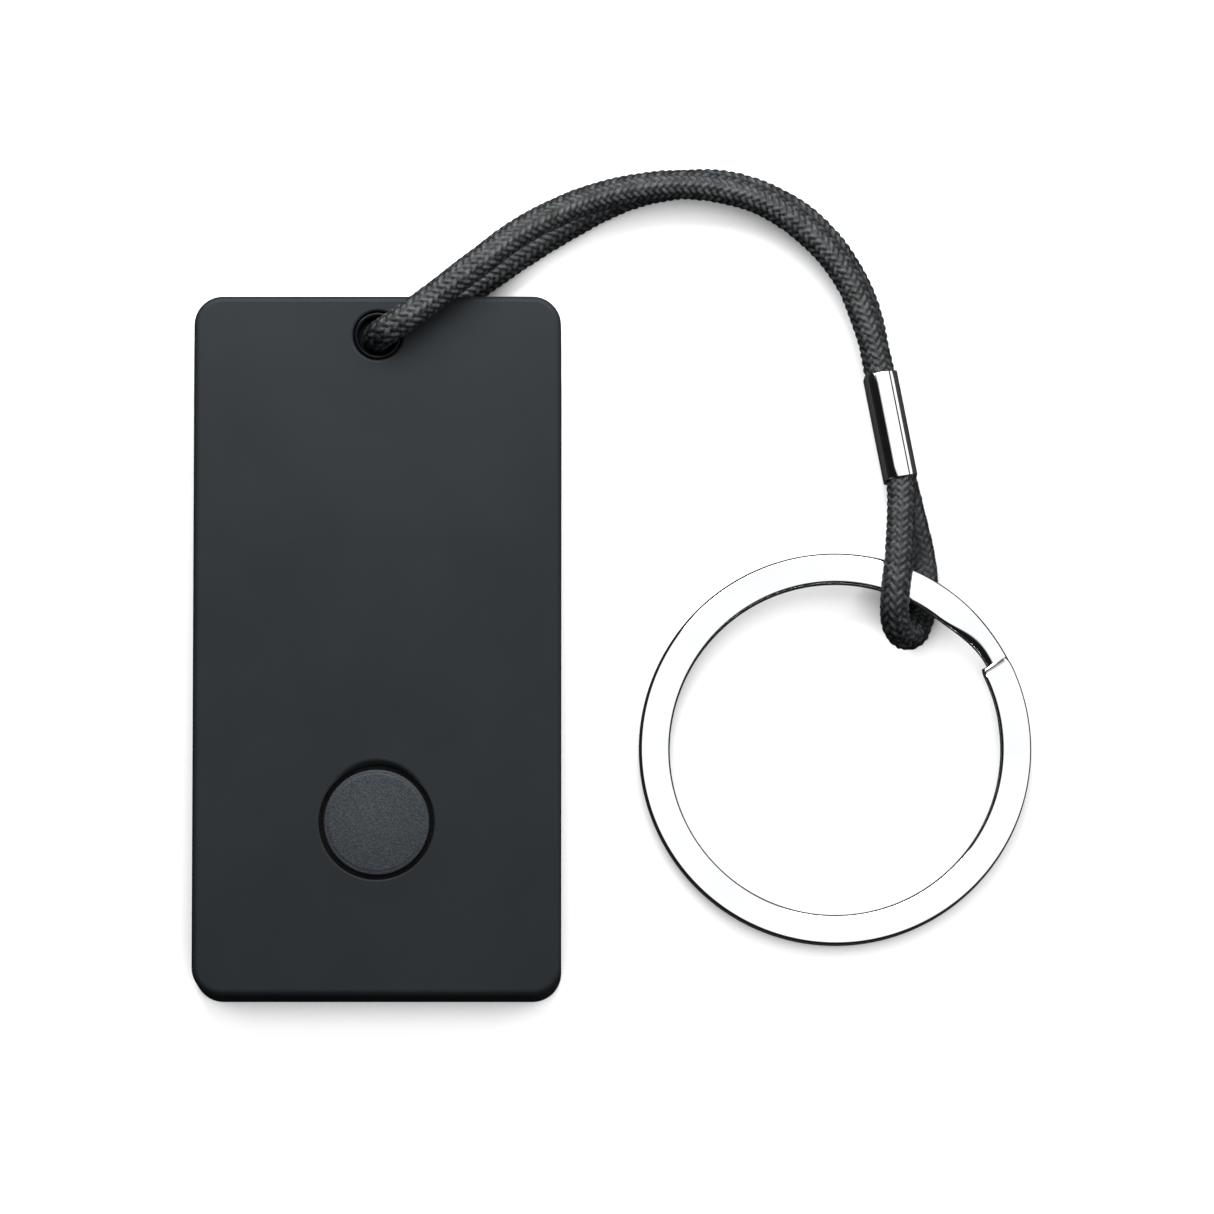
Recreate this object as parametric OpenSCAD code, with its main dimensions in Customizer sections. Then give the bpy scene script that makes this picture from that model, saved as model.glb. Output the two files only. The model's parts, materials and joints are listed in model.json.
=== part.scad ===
// Bluetooth tracker tag with a push button, a cord lanyard and a split key ring.
// The tag lies on its back: +Z out of the front, +Y toward the lanyard hole, +X to the right.

/* [Case] */
// Width of the case
case_w = 28; // [27:0.5:40]
// Length of the case
case_l = 53.5; // [52:0.5:80]
// Thickness of the case
case_t = 7.5; // [7.3:0.1:12]
// Radius of the corners seen from the front
case_corner = 2.2; // [1.8:0.1:4]
// Rounding of the front edge
front_round = 0.5; // [0.4:0.1:1.2]
// Thickness of the front wall
front_wall = 1; // [0.8:0.1:1.6]
// Thickness of the side walls
side_wall = 1.4; // [1.2:0.1:2]
// Part of the side wall left outside the back cover
cover_rim = 0.7; // [0.5:0.1:0.9]
// Distance from the hole's centre to the top edge
hole_inset = 3.05; // [2.8:0.05:4]
// Depth of the recess behind the hole, where the cord passes
cord_recess = 2.6; // [2.5:0.1:3.2]
// Wall between the cord recess and the inside
divider = 1.9; // [1.4:0.1:3]

/* [Back cover] */
// Thickness of the cover
cover_t = 1; // [0.8:0.1:1.4]
// Gap round the cover
cover_gap = 0.08; // [0.05:0.01:0.15]
// Height of the skirts inside the cover
skirt_h = 1.2; // [0.8:0.1:1.5]
// Thickness of the skirts
skirt_t = 0.8; // [0.6:0.1:1]
// Diameter of a sound hole
sound_hole_d = 0.9; // [0.5:0.1:1.2]

/* [Button] */
// Diameter of the button's face
button_d = 8.05; // [7:0.05:10]
// Gap round the button
button_gap = 0.35; // [0.2:0.05:0.5]
// How far the button's face lies below the front
button_sink = 0.1; // [0:0.05:0.3]
// Distance from the button's centre to the bottom edge
button_inset = 13.2; // [11.5:0.05:16]
// Travel of the button
button_travel = 0.2; // [0.1:0.05:0.2]

/* [Board and battery] */
// Thickness of the circuit board
board_t = 0.8; // [0.6:0.1:1]
// Room between the board and the front wall
front_room = 0.7; // [0.7:0.05:1.2]
// Gap round the board
board_gap = 0.2; // [0.1:0.05:0.4]
// Diameter of the coin cell
cell_d = 20; // [16:0.5:20.5]
// Height of the coin cell
cell_h = 3.2; // [2.5:0.1:3.2]
// Room for the spring contact over the cell
contact_room = 0.45; // [0.35:0.05:0.6]
// Outer diameter of the screws' shanks
screw_d = 1.28; // [1:0.01:1.4]
// Diameter of the buzzer's brass disc
buzzer_d = 15; // [10:0.5:16]

/* [Lanyard] */
// Diameter of the cord
cord_d = 2.3; // [2:0.1:2.4]
// Inner diameter of the eyelet
eyelet_d = 2.9; // [2.7:0.05:3]
// Wall of the eyelet
eyelet_wall = 0.4; // [0.3:0.05:0.5]
// Length of the ferrule
ferrule_l = 8.2; // [6:0.1:10]
// Thickness of the ferrule's metal
ferrule_wall = 0.14; // [0.1:0.01:0.2]

/* [Split ring] */
// Outer diameter of the ring
ring_d = 30; // [25:0.5:32]
// Width of the ring's wire, seen from the front
wire_w = 2.35; // [1.5:0.05:2.6]
// Thickness of the ring's wire
wire_t = 1; // [0.8:0.05:1.1]
// Gap between the ring's two turns
turn_gap = 0.04; // [0.02:0.01:0.1]

/* [Hidden] */
$fn = 64;

// Heights through the tag, from the back at 0 to the front at case_t
front_z = case_t - front_wall;
board_top = front_z - front_room;
board_bottom = board_top - board_t;
cell_top = board_bottom - contact_room;
cell_bottom = cell_top - cell_h;
tray_lift = 0.15;
tray_bottom = cell_bottom + tray_lift;

// Places along the tag
half_w = case_w / 2;
half_l = case_l / 2;
hole_y = half_l - hole_inset;
button_y = button_inset - half_l;
recess_margin = 2.9;
recess_y = hole_y - recess_margin;
inside_x = half_w - side_wall;
inside_bottom = side_wall - half_l;
inside_top = recess_y - divider;
pocket_x = half_w - cover_rim;
pocket_bottom = cover_rim - half_l;
pocket_top = inside_top + side_wall - cover_rim - 0.2;
pocket_gap = 0.02;
inside_corner = case_corner - side_wall;
pocket_corner = case_corner - cover_rim;

// The coin cell's metal and the gaps inside it
cell_wall = 0.25;
cell_film = 0.02;
cap_r = cell_d / 2 - 1.2;
filling_bottom = cell_bottom + cell_wall + cell_film;
filling_split = cell_bottom + cell_h * 0.6;

// The battery tray and what it holds
tray_wall = 1.2;
cell_gap = 0.3;
cell_y = inside_top - cell_d / 2 - tray_wall - 0.2;
tray_x = inside_x - 0.15;
tray_y0 = cell_y - cell_d / 2 - 1.9;
tray_y1 = cell_y + cell_d / 2 + tray_wall;
screw_x = inside_x - 2.2;
screw_ys = [tray_y0 + 2.8, tray_y1 - 2.1];
screw_head_r = 1.35;
screw_head_h = 0.7;
boss_r = 1.5;
boss_shoulder_r = 2;
boss_gap = 0.1;
head_seat = tray_bottom + screw_head_h + 0.05;
boss_end = head_seat + 0.9;
pilot_end = front_z - 0.3;
peg_y = inside_bottom + 2.6;
peg_r = 0.65;
peg_head_r = 1.1;
sheet_t = 0.15;
clip_x = 2;
parts_y = tray_y0 - 0.6;

// The push switch under the button
button_r = button_d / 2;
opening_r = button_r + button_gap;
button_face = case_t - button_sink;
flange_overlap = 0.6;
flange_r = opening_r + flange_overlap;
flange_gap = 0.05;
flange_clearance = 0.1;
flange_top = front_z - flange_gap;
flange_t = front_room - flange_gap - button_travel - flange_clearance;
flange_bottom = flange_top - flange_t;
cap_chamfer = 0.12;
opening_chamfer = 0.2;
scoop = 0.75;
scoop_shift = 0.6;
cap_pocket_r = 3;
cap_pocket_roof = flange_top + 0.3;
switch_x = 3.4;
switch_y = 3;
switch_h = 0.45;
switch_top = board_top + switch_h;
switch_plate_t = 0.08;
dome_t = 0.05;
dome_r = 1.1;
dome_top = switch_top - 0.05;
dome_floor = dome_top - button_travel - dome_t;
plunger_r = 0.7;
plunger_top = flange_top;
stem_r = 0.6;

// Holes, pry notch and skirts of the back cover
sound_hole_pitch = 2.1;
notch_r = 1.6;
side_skirt_l = 12;
end_skirt_l = 10;
skirt_gap = 0.1;

// The buzzer glued inside the back cover
buzzer_y = button_y;
buzzer_r = buzzer_d / 2;
adhesive_t = 0.2;
disc_t = 0.25;
ceramic_t = 0.2;
ceramic_r = buzzer_r * 2 / 3;
disc_z = cover_t + adhesive_t;
ceramic_z = disc_z + disc_t;
disc_contact_x = ceramic_r + 1.2;
ceramic_contact_x = 3;

// The lanyard
cord_r = cord_d / 2;
eyelet_r = eyelet_d / 2 + eyelet_wall;
eyelet_gap = 0.02;
eyelet_top = case_t - 0.15;
ferrule_h = 2 * cord_d + 2 * ferrule_wall;
ferrule_heading = -79;
ferrule_start = [38.45, 21.25, 0];
ferrule_seam = 0.6;
ferrule_seam_w = 0.1;

// The cord's route: x, y, z and its height as a share of its diameter.
// It starts in the ferrule, runs along the table and under the tag, comes up through the eyelet,
// goes back over itself to the ferrule, round the key ring and into the ferrule again.
cord_points = [
    [39.2, 17.5, 1.3, 1], [38.4, 21.7, 1.25, 1], [37.2, 27.1, 1.17, 1], [34.7, 31.5, 1.17, 1],
    [31.1, 34.6, 1.17, 1], [25.9, 36.3, 1.17, 1], [19.5, 35.5, 1.17, 1], [13.2, 32.3, 1.17, 1],
    [7.4, 28.4, 1.17, 1], [3.8, 25.8, 1.17, 1], [1.8, 24.5, 1.25, 1], [0.7, 23.9, 1.75, 1],
    [0.1, 23.7, 2.8, 1], [0, 23.7, 5, 1], [0.1, 23.7, 7.3, 1], [0.7, 24, 8.4, 1],
    [2, 24.8, 8.85, 1], [4.2, 26.4, 8.85, 1], [7.4, 28.9, 8.75, 1], [11.6, 32.1, 7.5, 1],
    [17, 34.8, 4.9, 1], [23, 35.9, 3.6, 1], [28.5, 35, 3.5, 1], [32.7, 32.5, 3.5, 1],
    [35.9, 28.8, 3.5, 1], [37.6, 24.6, 3.55, 1], [38.5, 21, 3.6, 1], [39.3, 17, 3.6, 1],
    [40, 13.2, 3.6, 1], [40, 9.8, 4.2, 1], [39.8, 6.6, 4.85, 1], [39.5, 4.2, 4.9, 1],
    [39.5, 2.3, 4.15, 1], [40.1, 1.3, 2.8, 1], [40.9, 1.4, 1.6, 1], [41.5, 2.7, 0.8, 0.68],
    [41.8, 5, 0.74, 0.62], [41.6, 7.4, 0.8, 0.68], [40.8, 10.8, 1.2, 1], [39.3, 16.9, 1.3, 1]
];
cord_sides = 8;
cord_steps = 2;

// The split ring, lying on the cord at one side and on the table at the other
ring_centre = [34.96, -7.47, 0.83];
ring_lift_heading = 66;
ring_tilt = 3.18;
ring_r = ring_d / 2;
upper_end = 28.5;
joggle_start = 50;
joggle_end = 30;
lower_end = 51;
ring_step = 5;

// Rounded rectangle from two opposite corners
module plate(x0, y0, x1, y1, r) {
    translate([x0 + r, y0])
        square([x1 - x0 - 2 * r, y1 - y0]);
    translate([x0, y0 + r])
        square([x1 - x0, y1 - y0 - 2 * r]);
    for (x = [x0 + r, x1 - r], y = [y0 + r, y1 - r])
        translate([x, y])
            circle(r);
}

// Box from its lowest corner to its highest
module block(low, high) {
    translate(low)
        cube(high - low);
}

module post(x, y, z0, z1, r) {
    translate([x, y, z0])
        cylinder(h = z1 - z0, r = r);
}

module slab(x0, y0, x1, y1, r, z0, z1) {
    translate([0, 0, z0])
        linear_extrude(z1 - z0)
            plate(x0, y0, x1, y1, r);
}

module at_screws() {
    for (side = [-1, 1], y = screw_ys)
        translate([side * screw_x, y, 0])
            children();
}

// Strip of bent sheet: a side profile in Y and Z, as wide as given along X
module strip(x, width, profile) {
    translate([x - width / 2, 0, 0])
        rotate([90, 0, 90])
            linear_extrude(width)
                polygon(profile);
}

// Outside of the case: straight sides and a rounded front edge
module case_block() {
    x = half_w - case_corner;
    y = half_l - case_corner;
    hull()
        for (sx = [-1, 1], sy = [-1, 1])
            translate([sx * x, sy * y, 0]) {
                cylinder(h = case_t - front_round, r = case_corner, $fn = 40);
                translate([0, 0, case_t - front_round])
                    rotate_extrude($fn = 40)
                        intersection() {
                            translate([case_corner - front_round, 0])
                                circle(front_round, $fn = 40);
                            square(case_corner);
                        }
            }
}

module front_shell() color("#363b3f") {
    difference() {
        case_block();
        slab(-inside_x, inside_bottom, inside_x, inside_top, inside_corner, -1, front_z);
        slab(-pocket_x, pocket_bottom, pocket_x, pocket_top, pocket_corner, -1, cover_t + pocket_gap);
        block([-half_w - 1, recess_y, -1], [half_w + 1, half_l + 1, cord_recess]);
        post(0, hole_y, 0, case_t + 1, eyelet_r + eyelet_gap);
        post(0, button_y, 0, case_t + 1, opening_r);
        translate([0, button_y, case_t - opening_chamfer + 0.05])
            cylinder(h = opening_chamfer, r1 = opening_r, r2 = opening_r + opening_chamfer);
        // finger scoop at the upper side of the opening
        translate([0, button_y + scoop_shift, case_t - scoop + 0.05])
            cylinder(h = scoop, r1 = opening_r - scoop_shift, r2 = opening_r - scoop_shift + scoop);
    }
    difference() {
        at_screws() {
            post(0, 0, board_top, front_z + 0.2, boss_shoulder_r);
            post(0, 0, boss_end, board_top + 0.1, boss_r);
        }
        at_screws()
            post(0, 0, boss_end - 1, pilot_end, screw_d / 2 + 0.01);
    }
    for (side = [-1, 1])
        translate([side * screw_x, peg_y, 0]) {
            post(0, 0, board_top, front_z + 0.2, 1.2);
            post(0, 0, board_bottom - 0.1, board_top + 0.1, peg_r);
            post(0, 0, board_bottom - 0.4, board_bottom - 0.02, peg_head_r);
        }
}

module back_cover() color("#33383c") {
    skirt_x = inside_x - skirt_gap;
    skirt_y = inside_bottom + skirt_gap;
    skirt_top = cover_t + skirt_h;
    difference() {
        slab(-pocket_x + cover_gap, pocket_bottom + cover_gap, pocket_x - cover_gap,
            pocket_top - cover_gap, pocket_corner - cover_gap, 0, cover_t);
        for (x = [-2, -1, 0, 1, 2])
            post(x * sound_hole_pitch, buzzer_y, -1, cover_t + 1, sound_hole_d / 2);
        post(0, pocket_bottom, -1, cover_t * 0.6, notch_r);
    }
    for (side = [-1, 1])
        translate([side * (skirt_x - skirt_t / 2), 0, 0])
            block([-skirt_t / 2, buzzer_y - side_skirt_l / 2, cover_t - 0.1],
                [skirt_t / 2, buzzer_y + side_skirt_l / 2, skirt_top]);
    block([-end_skirt_l / 2, skirt_y, cover_t - 0.1], [end_skirt_l / 2, skirt_y + skirt_t, skirt_top]);
}

module lanyard_eyelet() color("#0c0d0e") {
    lip = eyelet_wall / 2;
    middle = eyelet_r - lip;
    translate([0, hole_y, 0])
        rotate_extrude() {
            translate([middle, cord_recess + lip])
                circle(lip);
            translate([middle, eyelet_top - lip])
                circle(lip);
            translate([middle - lip, cord_recess + lip])
                square([eyelet_wall, eyelet_top - cord_recess - 2 * lip]);
        }
}

module button_cap() color("#41474b") translate([0, button_y, 0]) {
    difference() {
        union() {
            post(0, 0, flange_bottom, button_face - cap_chamfer, button_r);
            translate([0, 0, button_face - cap_chamfer])
                cylinder(h = cap_chamfer, r1 = button_r, r2 = button_r - cap_chamfer);
            post(0, 0, flange_bottom, flange_top, flange_r);
        }
        post(0, 0, flange_bottom - 1, cap_pocket_roof, cap_pocket_r);
    }
    post(0, 0, plunger_top + 0.01, cap_pocket_roof + 0.1, stem_r);
}

module switch_base() color("#1b1b1b") translate([0, button_y, 0])
    difference() {
        block([-switch_x / 2, -switch_y / 2, board_top], [switch_x / 2, switch_y / 2, switch_top]);
        post(0, 0, dome_floor, case_t, dome_r + 0.1);
    }

module switch_cover() color("#c9ccd0") translate([0, button_y, 0])
    difference() {
        block([-switch_x / 2, -switch_y / 2, switch_top],
            [switch_x / 2, switch_y / 2, switch_top + switch_plate_t]);
        post(0, 0, 0, case_t, plunger_r + 0.06);
    }

// Spring dome: a thin cap that the plunger presses flat
module switch_dome() color("#b8bcc0") {
    rise = dome_top - dome_floor;
    bow = (dome_r * dome_r + rise * rise) / (2 * rise);
    translate([0, button_y, dome_floor])
        rotate_extrude()
            intersection() {
                difference() {
                    translate([0, rise - bow])
                        circle(bow, $fn = 180);
                    translate([0, rise - bow])
                        circle(bow - dome_t, $fn = 180);
                }
                square([dome_r, rise]);
            }
}

module switch_plunger() color("#8f9498") translate([0, button_y, 0]) {
    post(0, 0, dome_top + 0.01, switch_top - 0.005, dome_r - 0.05);
    post(0, 0, switch_top - 0.01, plunger_top, plunger_r);
}

module circuit_board() color("#1f5b3a")
    difference() {
        slab(-inside_x + board_gap, inside_bottom + board_gap, inside_x - board_gap,
            inside_top - board_gap, 1, board_bottom, board_top);
        at_screws()
            post(0, 0, 0, case_t, boss_r + boss_gap);
        for (side = [-1, 1])
            post(side * screw_x, peg_y, 0, case_t, peg_r + 0.05);
    }

// Printed antenna: a folded line of copper along the board's top end
module printed_antenna() color("#c98a4b") {
    line = 0.5;
    copper = 0.035;
    pitch = 1.6;
    depth = 3.2;
    top = inside_top - board_gap - 0.4;
    for (i = [0:7])
        translate([(i - 3.5) * pitch, 0, board_top])
            translate([-line / 2, top - depth, 0])
                cube([line, depth, copper]);
    for (i = [0:6])
        translate([(i - 3.5) * pitch - line / 2, i % 2 == 0 ? top - line : top - depth, board_top])
            cube([pitch + line, line, copper]);
}

module test_pads() color("#d9b45a")
    for (i = [0:5])
        post((i - 2.5) * 1.8, button_y - 8, board_top, board_top + 0.04, 0.5);

module bluetooth_chip() color("#161718") {
    block([5.2, parts_y - 5, board_bottom - 0.85], [10.2, parts_y, board_bottom]);
}

module main_crystal() color("#b9bdc1")
    block([2.4, parts_y - 4.2, board_bottom - 0.5], [4.9, parts_y - 2.2, board_bottom]);

module clock_crystal() color("#aeb2b6")
    block([5.9, parts_y - 7.1, board_bottom - 0.75], [9.1, parts_y - 5.6, board_bottom]);

module power_inductor() color("#2a2b2d") {
    difference() {
        block([-9.6, parts_y - 3, board_bottom - 1.2], [-6.6, parts_y, board_bottom]);
        post(-8.1, parts_y - 1.5, board_bottom - 2, board_bottom - 1, 0.9);
    }
}

// Small chips on the back of the board, in rows beside the buzzer's contacts
module chip_row(x, y, count, height) {
    pitch = 1.3;
    for (i = [0:count - 1])
        block([x, y + i * pitch, board_bottom - height], [x + 1, y + i * pitch + 0.5, board_bottom]);
}

module chip_capacitors() color("#b79a74") {
    chip_row(-11.2, button_y - 4, 8, 0.5);
    chip_row(10.1, button_y - 4, 6, 0.5);
}

module chip_resistors() color("#202224")
    chip_row(-5.4, button_y - 7, 3, 0.35);

module battery_tray() color("#d8d9d6") {
    difference() {
        slab(-tray_x, tray_y0, tray_x, tray_y1, 1.2, tray_bottom, board_bottom);
        post(0, cell_y, 0, case_t, cell_d / 2 + cell_gap);
        at_screws() {
            post(0, 0, 0, head_seat, screw_head_r + 0.1);
            post(0, 0, 0, case_t, screw_d / 2 + 0.15);
            post(0, 0, boss_end, case_t, boss_r + boss_gap);
        }
        block([-clip_x - 0.5, tray_y0 - 1, 0], [clip_x + 0.5, cell_y - cell_d / 2 + 1, case_t]);
    }
}

module tray_screws() color("#8d9196")
    at_screws()
        difference() {
            union() {
                post(0, 0, tray_bottom + 0.05, head_seat, screw_head_r);
                post(0, 0, head_seat - 0.1, pilot_end - 0.2, screw_d / 2);
            }
            for (turn = [0, 90])
                rotate([0, 0, turn])
                    block([-0.8, -0.15, 0], [0.8, 0.15, tray_bottom + 0.4]);
        }

module coin_cell_can() color("#c4c8cc")
    translate([0, cell_y, 0])
        rotate_extrude($fn = 96) {
            translate([0, cell_bottom])
                square([cell_d / 2, cell_wall]);
            translate([cell_d / 2 - cell_wall, cell_bottom])
                square([cell_wall, cell_h - 0.25]);
            translate([cell_d / 2 - 0.8, cell_top - 0.45])
                square([0.8, 0.2]);
        }

module coin_cell_cap() color("#d2d5d8")
    translate([0, cell_y, 0])
        rotate_extrude($fn = 96) {
            translate([0, cell_top - cell_wall])
                square([cap_r, cell_wall]);
            translate([cap_r - cell_wall, cell_bottom + 0.6])
                square([cell_wall, cell_h - 0.6]);
        }

// Gasket: a ring between can and cap, with a foot under the cap's edge
module coin_cell_gasket() color("#3a3b3c") {
    inner = cap_r + cell_film;
    outer = cell_d / 2 - cell_wall - cell_film;
    translate([0, cell_y, 0])
        rotate_extrude($fn = 96) {
            translate([inner, filling_bottom])
                square([outer - inner, cell_h - 0.74]);
            translate([inner - 0.6, filling_bottom])
                square([0.8, 0.3]);
        }
}

module coin_cell_cathode() color("#2b2b2b")
    post(0, cell_y, filling_bottom, filling_split, cap_r - 0.7);

module coin_cell_separator() color("#e8e6df")
    post(0, cell_y, filling_split + 0.01, filling_split + 0.12, cap_r - 0.3);

module coin_cell_lithium() color("#a9adb1")
    post(0, cell_y, filling_split + 0.14, cell_top - cell_wall - cell_film, cap_r - 0.8);

// Positive clip: a foot on the board, a leg down beside the cell and a bow that touches the cell
module positive_clip() color("#c8b36a") {
    wall = cell_y - cell_d / 2;
    foot = wall - 3.6;
    strip(0, 2 * clip_x, [
        [foot, board_bottom], [foot, board_bottom - sheet_t],
        [wall - 0.75, board_bottom - sheet_t], [wall - 0.75, cell_bottom + 2.2],
        [wall - 0.17, cell_bottom + 1.6], [wall - 0.75, cell_bottom + 1],
        [wall - 0.75, cell_bottom + 0.3], [wall - 0.6, cell_bottom + 0.3],
        [wall - 0.6, cell_bottom + 0.95], [wall - 0.02, cell_bottom + 1.6],
        [wall - 0.6, cell_bottom + 2.25], [wall - 0.6, board_bottom]
    ]);
}

// Negative contact: a plate on the board with two fingers that press on the cell
module negative_contact() color("#c8b36a") {
    block([-4, cell_y - 2.5, board_bottom - sheet_t], [4, cell_y + 2.5, board_bottom]);
    for (side = [-1, 1])
        translate([side * 2.4, 0, 0])
            strip(0, 1.6, [
                [cell_y + 2.4, board_bottom], [cell_y + 2.4, board_bottom - sheet_t],
                [cell_y + 5.5, cell_top + 0.01], [cell_y + 6.5, cell_top + 0.01],
                [cell_y + 7.4, cell_top + 0.16], [cell_y + 7.4, cell_top + 0.3],
                [cell_y + 6.5, cell_top + 0.15], [cell_y + 5.5, cell_top + 0.15],
                [cell_y + 3.2, board_bottom]
            ]);
}

module foam_pad() color("#3f4244")
    slab(-5, cell_y - 4, 5, cell_y + 4, 0.6, cover_t, cell_bottom - 0.01);

module buzzer_adhesive() color("#d9d4c4")
    difference() {
        post(0, buzzer_y, cover_t, disc_z, buzzer_r);
        post(0, buzzer_y, 0, case_t, buzzer_r - 1.5);
    }

module buzzer_disc() color("#c79a45")
    post(0, buzzer_y, disc_z, ceramic_z, buzzer_r);

module buzzer_ceramic() color("#dcd8cf")
    post(0, buzzer_y, ceramic_z, ceramic_z + ceramic_t, ceramic_r);

// One spring contact: foot on the board, slanted leg and a tip that rests at the given height
module spring_contact(x, tip_z) {
    strip(x, 1, [
        [buzzer_y + 1, board_bottom], [buzzer_y + 1, board_bottom - sheet_t],
        [buzzer_y - 0.35, board_bottom - sheet_t], [buzzer_y + 0.75, tip_z + sheet_t],
        [buzzer_y + 1.6, tip_z + sheet_t], [buzzer_y + 1.6, tip_z],
        [buzzer_y + 0.6, tip_z], [buzzer_y - 0.6, board_bottom]
    ]);
}

module buzzer_contacts() color("#c8b36a") {
    spring_contact(ceramic_contact_x, ceramic_z + ceramic_t + 0.01);
    spring_contact(-disc_contact_x, ceramic_z + 0.01);
}

// Smooth curve through four points, at share t between the middle two
function spline(a, b, c, d, t) =
    b + t * ((c - a) / 2 + t * (a - 2.5 * b + 2 * c - d / 2 + t * ((d - a) / 2 + 1.5 * (b - c))));

function cord_path(points, steps) = let (last = len(points) - 1) [
    for (i = [0:last - 1], s = [0:steps - 1])
        spline(points[max(i - 1, 0)], points[i], points[i + 1], points[min(i + 2, last)], s / steps),
    points[last]
];

function place(p) = [p[0], p[1], p[2]];

function unit(v) = v / norm(v);

// Direction along the path at one of its points
function along(path, i) =
    unit(place(path[min(i + 1, len(path) - 1)]) - place(path[max(i - 1, 0)]));

// Across-directions carried along the path without twist
function sideways(path) = [
    for (i = 0, u = unit(cross(along(path, 0), [0, 0, 1]));
        i < len(path);
        i = i + 1, u = i < len(path) ? unit(u - (u * along(path, i)) * along(path, i)) : u) u
];

// Closed skin over rings of points that all have the same count
module skin(rings) {
    count = len(rings[0]);
    last = len(rings) - 1;
    polyhedron(
        points = [for (ring = rings, p = ring) p],
        faces = concat(
            [[for (k = [0:count - 1]) k]],
            [[for (k = [count - 1:-1:0]) last * count + k]],
            [for (i = [0:last - 1], k = [0:count - 1])
                let (n = (k + 1) % count)
                each [[i * count + k, (i + 1) * count + k, (i + 1) * count + n],
                    [i * count + k, (i + 1) * count + n, i * count + n]]]
        )
    );
}

module lanyard_cord() color("#141516") {
    path = cord_path(cord_points, cord_steps);
    across = sideways(path);
    skin([for (i = [0:len(path) - 1])
        let (u = across[i], v = cross(along(path, i), u), flat = path[i][3])
        [for (k = [0:cord_sides - 1])
            let (turn = (k + 0.5) * 360 / cord_sides,
                offset = cord_r * (cos(turn) * u + sin(turn) * v))
            place(path[i]) + [offset[0], offset[1], offset[2] * flat]]]);
}

// Two circles, one over the other, and what joins them
module ferrule_outline(r) {
    for (side = [-1, 1])
        translate([side * cord_r, 0])
            circle(r);
    translate([-cord_r, -r])
        square([2 * cord_r, 2 * r]);
}

module cord_ferrule() color("#c9cdd1")
    translate(ferrule_start)
        rotate([0, 0, ferrule_heading])
            rotate([0, 90, 0])
                translate([-ferrule_h / 2, 0, 0])
                    linear_extrude(ferrule_l)
                        difference() {
                            ferrule_outline(cord_r + ferrule_wall);
                            ferrule_outline(cord_r + 0.01);
                            translate([-ferrule_h, ferrule_seam])
                                square([ferrule_h, ferrule_seam_w]);
                        }

// Height of the wire's lower face at an angle counted clockwise from the upper end
function wire_height(turned) =
    let (upper = wire_t + turn_gap,
        dive = 360 - joggle_start + upper_end,
        span = joggle_start - joggle_end,
        share = min(1, max(0, (turned - dive) / span)))
    upper * (1 + cos(180 * share)) / 2;

module split_ring() color("#cfd3d6") {
    total = 720 - (lower_end - upper_end);
    steps = ceil(total / ring_step);
    translate(ring_centre)
        rotate([0, 0, ring_lift_heading])
            rotate([0, -ring_tilt, 0])
                rotate([0, 0, -ring_lift_heading])
                    skin([for (i = [0:steps])
                        let (turned = total * i / steps,
                            heading = upper_end - turned,
                            low = wire_height(turned),
                            d = [cos(heading), sin(heading)])
                        [for (corner = [[ring_r, 0], [ring_r, wire_t],
                            [ring_r - wire_w, wire_t], [ring_r - wire_w, 0]])
                            [corner[0] * d[0], corner[0] * d[1], low + corner[1]]]]);
}

front_shell();
back_cover();
lanyard_eyelet();
button_cap();
switch_base();
switch_cover();
switch_dome();
switch_plunger();
circuit_board();
printed_antenna();
test_pads();
bluetooth_chip();
main_crystal();
clock_crystal();
power_inductor();
chip_capacitors();
chip_resistors();
battery_tray();
tray_screws();
coin_cell_can();
coin_cell_cap();
coin_cell_gasket();
coin_cell_cathode();
coin_cell_separator();
coin_cell_lithium();
positive_clip();
negative_contact();
foam_pad();
buzzer_disc();
buzzer_ceramic();
buzzer_adhesive();
buzzer_contacts();
lanyard_cord();
cord_ferrule();
split_ring();
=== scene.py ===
import bpy, bmesh, json, math
import numpy as np
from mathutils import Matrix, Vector


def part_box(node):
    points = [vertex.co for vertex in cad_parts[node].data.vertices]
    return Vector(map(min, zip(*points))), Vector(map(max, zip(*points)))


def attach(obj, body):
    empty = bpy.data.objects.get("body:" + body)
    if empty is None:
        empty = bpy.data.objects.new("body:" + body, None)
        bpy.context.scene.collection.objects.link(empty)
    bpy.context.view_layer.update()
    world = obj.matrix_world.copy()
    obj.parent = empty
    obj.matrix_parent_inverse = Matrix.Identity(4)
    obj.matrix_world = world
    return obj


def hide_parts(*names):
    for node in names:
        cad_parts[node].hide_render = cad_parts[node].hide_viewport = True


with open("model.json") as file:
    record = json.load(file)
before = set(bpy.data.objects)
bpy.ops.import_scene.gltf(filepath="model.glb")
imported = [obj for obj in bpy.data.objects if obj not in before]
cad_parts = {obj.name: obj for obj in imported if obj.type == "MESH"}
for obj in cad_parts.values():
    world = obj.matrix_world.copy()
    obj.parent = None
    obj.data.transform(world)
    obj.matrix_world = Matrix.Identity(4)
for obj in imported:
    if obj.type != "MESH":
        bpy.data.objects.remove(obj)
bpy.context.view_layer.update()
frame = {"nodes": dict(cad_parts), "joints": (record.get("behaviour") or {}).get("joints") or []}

mm = 0.001               # lengths below are in millimetres unless a note says otherwise
scene = bpy.context.scene


# camera, seen from high above the tag's lower end

cameraView = {
    "aim": (17.5 * mm, 3.6 * mm, 0.5 * mm),
    "elevation": 84,       # degrees above the table
    "distance": 0.75,
    "width": 93.2 * mm,    # what the picture's width covers at the aim
}


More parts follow.
